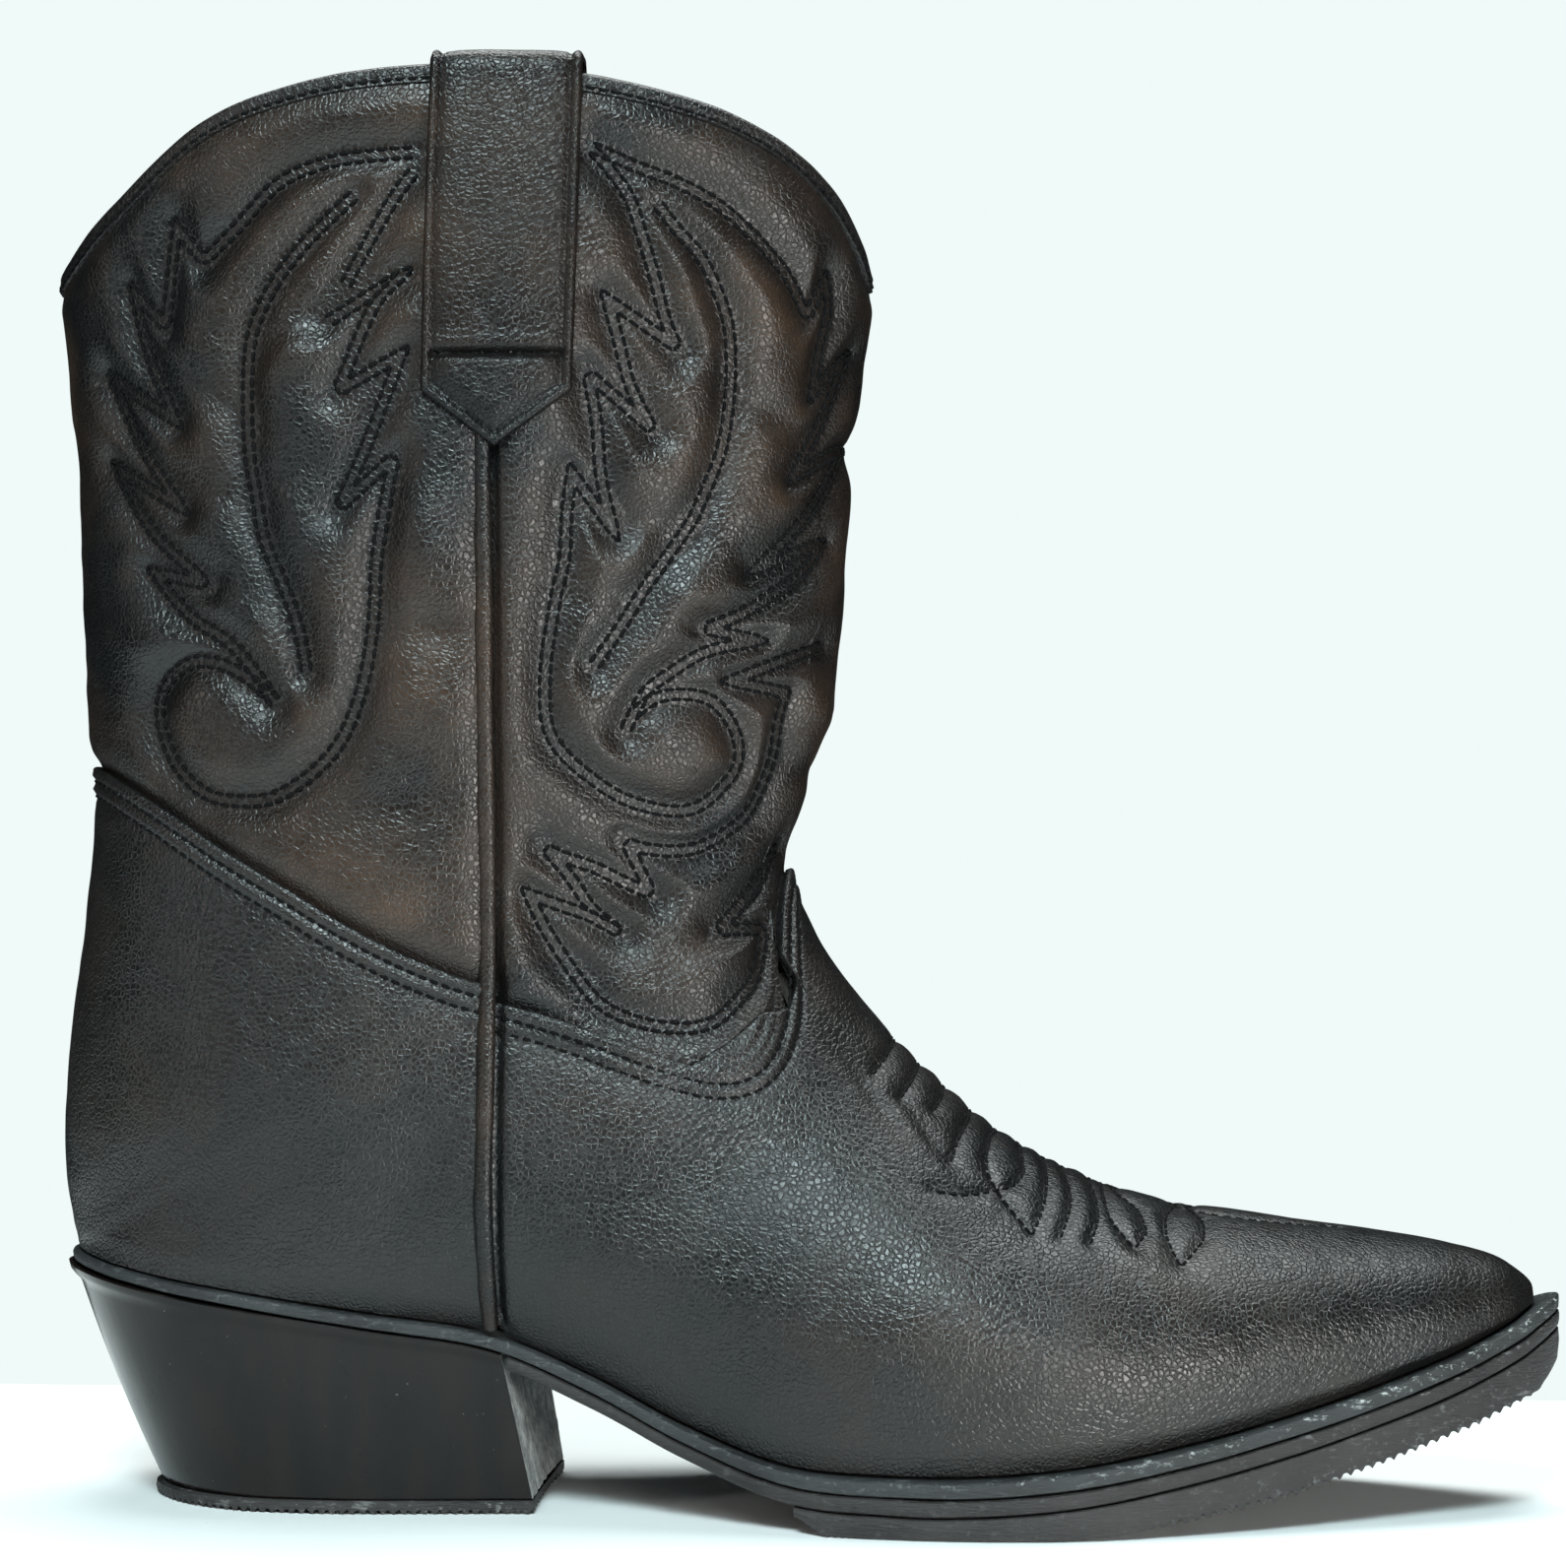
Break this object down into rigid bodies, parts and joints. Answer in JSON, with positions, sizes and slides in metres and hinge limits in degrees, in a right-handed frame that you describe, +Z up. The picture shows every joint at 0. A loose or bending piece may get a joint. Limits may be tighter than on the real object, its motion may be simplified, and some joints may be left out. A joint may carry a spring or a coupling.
{
  "type": "cowboy boot",
  "caption": "Pointed-toe western boot with a curved topline, pull straps, flame-stitched shaft, stacked block heel and thin welted sole.",
  "frame": {"origin": "middle of the boot's footprint box, on the ground that heel and forefoot stand on", "axes": "+X towards the toe, +Y towards the inner side of a right foot, +Z up"},
  "size_m": [0.2835, 0.0884, 0.2668],
  "materials": {
    "upper_leather": "pebble-grained, semi-matte, softly waxed",
    "strap_leather": "pebble-grained, semi-matte",
    "binding_leather": "smooth, folded, satin",
    "lining_leather": "matte suede-like",
    "foam_padding": "open foam with a cloth backing",
    "fibre_board": "matte cellulose board",
    "stiffener_board": "matte thermoplastic sheet",
    "sole_rubber": "dull moulded rubber with light scuffs",
    "heel_stack": "dyed, burnished and waxed",
    "fastener_steel": "plain drawn steel"
  },
  "bodies": {
    "root": {"vamp": "upper_leather", "heel_counter_cover": "upper_leather", "shaft_front_panel": "upper_leather", "shaft_back_panel": "upper_leather", "top_binding": "binding_leather", "side_seam_piping_outer": "binding_leather", "side_seam_piping_inner": "binding_leather", "pull_strap_outer": "strap_leather", "pull_strap_inner": "strap_leather", "shaft_padding_front": "foam_padding", "shaft_padding_back": "foam_padding", "shaft_lining_front": "lining_leather", "shaft_lining_back": "lining_leather", "vamp_lining": "lining_leather", "heel_lining": "lining_leather", "toe_puff": "stiffener_board", "heel_stiffener": "stiffener_board", "sock_liner": "lining_leather", "heel_cushion": "foam_padding", "insole_board": "fibre_board", "heel_seat_board": "fibre_board", "shank_steel": "fastener_steel", "bottom_filler": "foam_padding", "welt": "sole_rubber", "outsole": "sole_rubber", "forepart_tread": "sole_rubber", "heel_block": "heel_stack", "heel_top_lift": "sole_rubber", "heel_screw": "fastener_steel", "heel_nail_1": "fastener_steel", "heel_nail_2": "fastener_steel", "heel_nail_3": "fastener_steel", "heel_nail_4": "fastener_steel", "heel_nail_5": "fastener_steel", "shank_rivet_1": "fastener_steel", "top_lift_pin_1": "fastener_steel", "shank_rivet_2": "fastener_steel", "top_lift_pin_2": "fastener_steel"}
  },
  "joints": []
}
